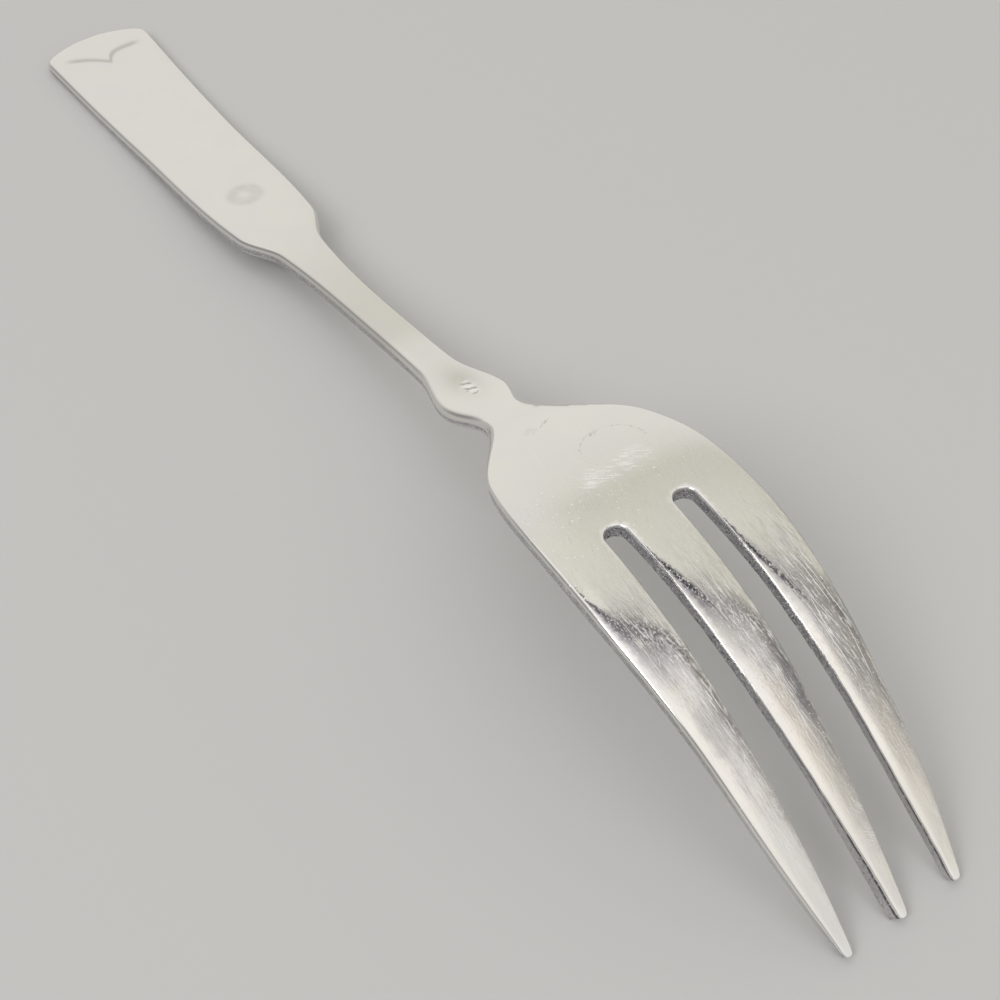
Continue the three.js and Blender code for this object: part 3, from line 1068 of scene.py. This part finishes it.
def worn_steel():
    """Polished metal worn by use: scratches, scuffs, pits and specks, stains, grime on the stem, a darker
    ring round the dent, and grainy grey walls where the slots were cut. Light and shade are painted on it
    too: shade along the crease, stripes of highlight and shade in the dent, highlights at the tips, along
    the left edges of the tines and on the rims at the ends of the slots, patches of reflection and shade on
    the tines, and shade on the outer walls and under the burr."""
    material = bpy.data.materials.new("worn_steel")
    nodes = Nodes(material)
    blank = Blank(nodes)
    patches = nodes.noise(blank.vector, 0.5, 3)
    coarse = nodes.noise(blank.vector, 2.5, 3)
    light_lines, dark_lines = scratch_marks(nodes, blank)
    dent_highlights, dent_shade_stripes = dent_marks(nodes, blank, patches)
    band, line = speckling(nodes, blank)
    speckled = nodes.most(band, line)
    bright_specks = nodes.times(nodes.share(nodes.grain(blank.vector, 4, (3, 6.5)), 0.59, 0.68), speckled)
    # Light marks: scuffs, pits, bright specks and the painted highlights in the dent
    light = nodes.most(scuff_marks(nodes, blank), dent_highlights, pit_marks(nodes, blank), bright_specks)
    pale = nodes.most(light, light_lines)

    colour = polished_colour(nodes, blank, dark_lines, patches)
    specks = nodes.grain(blank.vector, 4, (1.9, 3.2), 6)
    colour = nodes.tint(colour, nodes.times(nodes.share(specks, 0.57, 0.45), speckled), 0.85, DARK_SPECKS)
    colour = nodes.tint(colour, nodes.times(nodes.share(specks, 0.62, 0.48), line), 0.65, BLACK_SPECKS)
    # Paler bare steel in light marks and scratches; in the dent it is painted highlight
    colour = nodes.tint(colour, pale, 0.8, BARE_STEEL_AND_HIGHLIGHT)
    # Painted shade along the crease, a darker ring round the dent, and grime on the stem
    crease_shade_and_stem_grime = nodes.blend(nodes.share(blank.at, GRIP_AT, SHOULDER_AT), CREASE_SHADE, STEM_GRIME)
    colour = nodes.tint(colour, blank.shade_and_grime_share, 0.5, crease_shade_and_stem_grime)
    # Painted shade between the painted highlights in the dent
    colour = nodes.tint(colour, dent_shade_stripes, 0.7, DENT_SHADE)
    colour = nodes.tint(colour, stains(nodes, blank), 0.7, STAINED_STEEL)
    # Grey cut walls; on the outer walls part of this grey is painted shade and reflection
    colour = nodes.blend(blank.cut, colour, wall_colour(nodes, blank, coarse))
    # Painted highlight on the rims at the ends of the slots
    colour = nodes.tint(colour, blank.slot_end_highlight, 0.8, SLOT_END_HIGHLIGHT_COLOUR)

    shader = material.node_tree.nodes["Principled BSDF"]
    shader.inputs["Metallic"].default_value = 1
    rough = roughness(nodes, blank, pale)
    normal = relief(nodes, blank, speckled, light, light_lines, coarse)
    nodes.feed(shader, {"Base Color": colour, "Roughness": rough, "Normal": normal})
    return material


def build_floor():
    size = FLOOR_HALF_SIZE
    mesh = bpy.data.meshes.new("floor")
    corners = [(-size, -size, 0), (size, -size, 0), (size, size, 0), (-size, size, 0)]
    mesh.from_pydata(corners, [], [(0, 1, 2, 3)])
    material = bpy.data.materials.new("floor_paint")
    material.use_nodes = True
    shader = material.node_tree.nodes["Principled BSDF"]
    shader.inputs["Base Color"].default_value = opaque(FLOOR_COLOUR)
    shader.inputs["Roughness"].default_value = FLOOR_ROUGHNESS
    mesh.materials.append(material)
    floor = bpy.data.objects.new("floor", mesh)
    bpy.context.collection.objects.link(floor)


def cream_light(nodes, split):
    """The cream light overhead, shaded on one side."""
    cream = nodes.ramp(
        split["Z"],
        [
            (0, (0.77, 0.77, 0.736)),
            (0.25, (0.77, 0.77, 0.728)),
            (0.55, (0.762, 0.745, 0.728)),
            (0.8, (0.735, 0.722, 0.672)),
            (1, (0.735, 0.722, 0.672)),
        ],
    )
    shaded_cream = nodes.ramp(
        split["Z"],
        [
            (0, (0.77, 0.77, 0.736)),
            (0.3, (0.765, 0.762, 0.725)),
            (0.48, (0.725, 0.717, 0.67)),
            (0.65, (0.615, 0.603, 0.542)),
            (0.75, (0.63, 0.62, 0.56)),
            (0.9, (0.7, 0.687, 0.635)),
            (1, (0.7, 0.687, 0.635)),
        ],
    )
    return nodes.blend(nodes.share(split["Y"], 0.28, 0.42), cream, shaded_cream)


def bright_wall(nodes, split, side):
    """The bright wall high on one side, with a dark gap before the cream. Side is the place across it."""
    bright = nodes.ramp(
        split["Y"],
        [
            (-0.7, (0.5, 0.5, 0.5)),
            (-0.3, (0.85, 0.83, 0.82)),
            (-0.05, (0.99, 0.965, 0.955)),
            (0.3, (0.97, 0.945, 0.935)),
            (0.39, (0.96, 0.925, 0.91)),
            (0.41, (0.94, 0.9, 0.88)),
            (0.43, (0.75, 0.723, 0.704)),
            (0.46, (0.37, 0.354, 0.343)),
            (0.6, (0.29, 0.274, 0.266)),
            (0.75, (0.37, 0.35, 0.336)),
        ],
    )
    bright = nodes.blend(nodes.share(split["X"], 0.5, 0.8), bright, FAR_WALL)
    gap = nodes.ramp(
        side,
        [
            (-0.36, (1, 1, 1)),
            (-0.27, (0.92, 0.92, 0.92)),
            (-0.2, (0.77, 0.77, 0.78)),
            (-0.14, (0.58, 0.58, 0.61)),
            (-0.09, (0.28, 0.28, 0.31)),
            (-0.06, (0.1, 0.1, 0.12)),
            (-0.01, (0.08, 0.08, 0.1)),
        ],
    )
    overhead = nodes.times(
        nodes.share(split["Y"], 0.05, 0.2),
        nodes.share(split["Z"], 0.52, 0.72),
        nodes.share(split["X"], 0.5, 0.25),
        nodes.between(split["Y"], 0.38, 0.42, 1, 0.4),
    )
    return nodes.shade(bright, nodes.blend(overhead, WHITE, gap))


def low_walls(nodes, split):
    """How the walls on two sides darken the room low down."""
    walls = nodes.ramp(
        split["Y"],
        [
            (-1, (0.45, 0.45, 0.46)),
            (-0.5, (0.5, 0.5, 0.51)),
            (-0.1, (0.95, 0.95, 0.95)),
            (0.1, (1, 1, 1)),
            (0.62, (1, 1, 1)),
            (0.85, (0.55, 0.55, 0.56)),
            (1, (0.5, 0.5, 0.51)),
        ],
    )
    return nodes.blend(nodes.share(split["Z"], 0.35, 0.75), walls, WHITE)


def build_world():
    """A pale room, cream overhead, with darker walls low down on two sides. High on one side it has a bright
    wall with a dark gap before the cream."""
    world = bpy.data.worlds.new("room")
    bpy.context.scene.world = world
    nodes = Nodes(world)
    direction = nodes.add("TexCoord", {}).outputs["Generated"]
    split = nodes.add("SeparateXYZ", {0: direction}).outputs
    gap_facing = Vector(GAP_FACING).normalized()
    side = nodes.add("VectorMath", {0: direction, 1: gap_facing}, operation="DOT_PRODUCT").outputs["Value"]
    cream = cream_light(nodes, split)
    high = nodes.blend(nodes.share(side, -0.01, 0.01), bright_wall(nodes, split, side), cream)
    room = nodes.blend(nodes.share(split["Z"], 0.15, 0.35), cream, high)
    room = nodes.shade(room, low_walls(nodes, split))
    background = world.node_tree.nodes["Background"]
    nodes.feed(background, {"Color": room, "Strength": ROOM_STRENGTH})


def build_lamp():
    data = bpy.data.lights.new("soft_key", "AREA")
    data.size = LAMP_SIZE
    data.energy = LAMP_ENERGY
    lamp = bpy.data.objects.new("soft_key", data)
    place = Vector(LAMP_PLACE)
    lamp.location = place
    lamp.rotation_euler = (-place).to_track_quat("-Z", "Y").to_euler()
    bpy.context.collection.objects.link(lamp)


def build_camera():
    data = bpy.data.cameras.new("camera")
    data.lens = CAMERA_LENS
    data.sensor_width = SENSOR_WIDTH
    data.clip_start = 0.01
    camera = bpy.data.objects.new("camera", data)
    place = Vector(CAMERA_PLACE) * MM
    aim = Vector(CAMERA_AIM) * MM
    turn = (aim - place).to_track_quat("-Z", "Y").to_matrix()
    roll = Matrix.Rotation(math.radians(CAMERA_ROLL), 3, "Z")
    camera.matrix_world = Matrix.Translation(place) @ (turn @ roll).to_4x4()
    bpy.context.collection.objects.link(camera)
    bpy.context.scene.camera = camera


fork = build_fork(worn_steel())
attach(fork, "root")
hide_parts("fork")
build_floor()
build_world()
build_lamp()
build_camera()
bpy.context.scene.view_settings.view_transform = "Standard"
